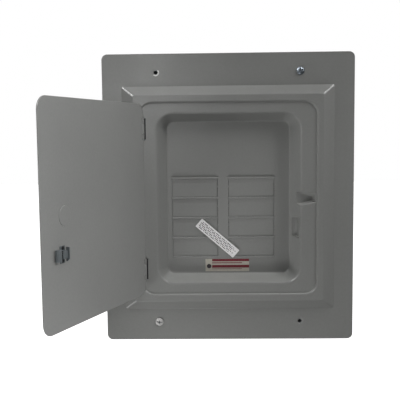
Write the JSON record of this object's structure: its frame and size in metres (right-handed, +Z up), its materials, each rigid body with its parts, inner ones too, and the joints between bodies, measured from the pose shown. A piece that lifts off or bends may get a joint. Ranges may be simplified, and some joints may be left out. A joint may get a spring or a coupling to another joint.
{
  "type": "subpanel enclosure",
  "caption": "Steel breaker subpanel box with bus interior, stamped trim cover with twist-out blanks, and a hinged inner door with a spring latch, door open.",
  "frame": {"origin": "centre of the box's back face", "axes": "+Z up, +Y into the wall, the front and the door face -Y, +X to the right seen from the front"},
  "size_m": [0.3428, 0.3027, 0.361],
  "materials": {
    "painted_steel": "satin grey powder coat with fine orange peel",
    "galvanised_steel": "galvanised sheet, soft spangle, satin",
    "zinc_plated_steel": "bright zinc plate, satin",
    "tin_plated_bus": "tin plate, satin",
    "lug_aluminium": "sawn and drilled extrusion, satin",
    "black_moulding": "moulded thermoset, matt",
    "white_moulding": "moulded nylon, matt",
    "green_screw": "green dyed plating, satin",
    "label_red": "printed vinyl, semi-gloss",
    "sticker_white": "printed paper, matt",
    "spring_steel": "bright spring wire"
  },
  "bodies": {
    "enclosure": {"cover_trim": "painted_steel", "twistout_left_1": "painted_steel", "twistout_left_2": "painted_steel", "twistout_left_3": "painted_steel", "twistout_left_4": "painted_steel", "twistout_right_1": "painted_steel", "twistout_right_2": "painted_steel", "twistout_right_3": "painted_steel", "twistout_right_4": "painted_steel", "box_wrapper": "galvanised_steel", "box_top_end": "galvanised_steel", "box_bottom_end": "galvanised_steel", "top_knockouts": "galvanised_steel", "bottom_knockouts": "galvanised_steel", "side_knockouts": "galvanised_steel", "interior_pan": "zinc_plated_steel", "interior_screws": "zinc_plated_steel", "left_hook_rail": "zinc_plated_steel", "right_hook_rail": "zinc_plated_steel", "bus_bar_screws": "zinc_plated_steel", "line_lug_screws": "zinc_plated_steel", "neutral_bar_screws": "zinc_plated_steel", "ground_bar_screws": "zinc_plated_steel", "cover_screws": "zinc_plated_steel", "upper_hinge_leaf": "zinc_plated_steel", "lower_hinge_leaf": "zinc_plated_steel", "upper_hinge_pin": "zinc_plated_steel", "lower_hinge_pin": "zinc_plated_steel", "left_bus_bar": "tin_plated_bus", "right_bus_bar": "tin_plated_bus", "left_line_lug": "lug_aluminium", "right_line_lug": "lug_aluminium", "neutral_bar": "lug_aluminium", "ground_bar": "lug_aluminium", "bus_insulator": "black_moulding", "neutral_bar_standoffs": "white_moulding", "bonding_screw": "green_screw", "caution_label": "label_red", "loose_sticker": "sticker_white"},
    "door": {"door_panel": "painted_steel", "lock_knockout": "painted_steel", "latch_housing": "zinc_plated_steel", "latch_rivets": "zinc_plated_steel", "latch_spring": "spring_steel"},
    "latch": {"latch_slide": "zinc_plated_steel", "latch_thumb_tab": "black_moulding"}
  },
  "joints": [
    {"name": "door_hinge", "type": "hinge", "parent": "enclosure", "child": "door", "pos_m": [-0.1056, -0.1042, 0], "axis": [0, 0, 1], "range_deg": [-20, 112]},
    {"name": "latch_travel", "type": "slide", "parent": "door", "child": "latch", "axis": [0.3746, 0.9272, 0], "range_m": [0, 0.003], "stiffness_N_per_m": 300, "springref_m": -0.003, "deforming": ["latch_spring"]}
  ]
}
